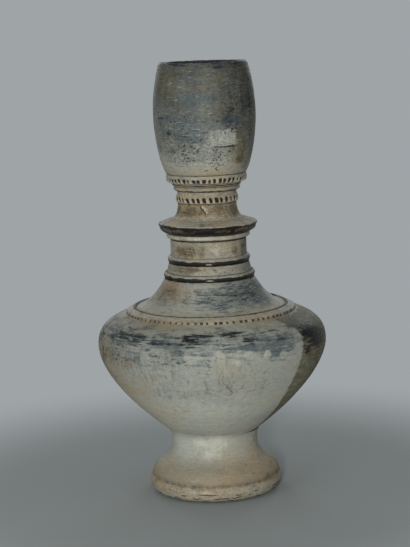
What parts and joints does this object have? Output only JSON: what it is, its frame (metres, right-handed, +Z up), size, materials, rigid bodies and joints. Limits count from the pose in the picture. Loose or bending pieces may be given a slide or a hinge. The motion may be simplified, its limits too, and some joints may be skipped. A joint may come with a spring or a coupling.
{
  "type": "terracotta vase",
  "caption": "Tall terracotta bottle with a pedestal foot, a wide belly, a ringed neck with a flange and a tall cup-shaped mouth.",
  "frame": {"origin": "middle of the resting foot, on the surface that the vase stands on", "axes": "+Z up along the turning axis, +X to the right and +Y away from the picture's viewer"},
  "size_m": [0.2032, 0.2032, 0.38],
  "materials": {
    "buff_clay": "burnished, unglazed, stained buff grey with smoke marks",
    "smoked_clay": "burnished, unglazed, smoked dark grey towards the rim",
    "burnished_slip": "dark slip burnished to a low gloss"
  },
  "bodies": {
    "root": {"foot_rim_coil": "buff_clay", "pedestal_foot": "buff_clay", "lower_belly": "buff_clay", "upper_belly": "buff_clay", "shoulder_band": "buff_clay", "neck": "buff_clay", "lower_neck_ring": "burnished_slip", "middle_neck_ring": "burnished_slip", "neck_collar": "buff_clay", "flange_disc": "burnished_slip", "throat": "buff_clay", "lower_notched_band": "buff_clay", "plain_roll": "buff_clay", "fine_ridges": "buff_clay", "upper_notched_band": "buff_clay", "mouth_cup": "smoked_clay"}
  },
  "joints": []
}
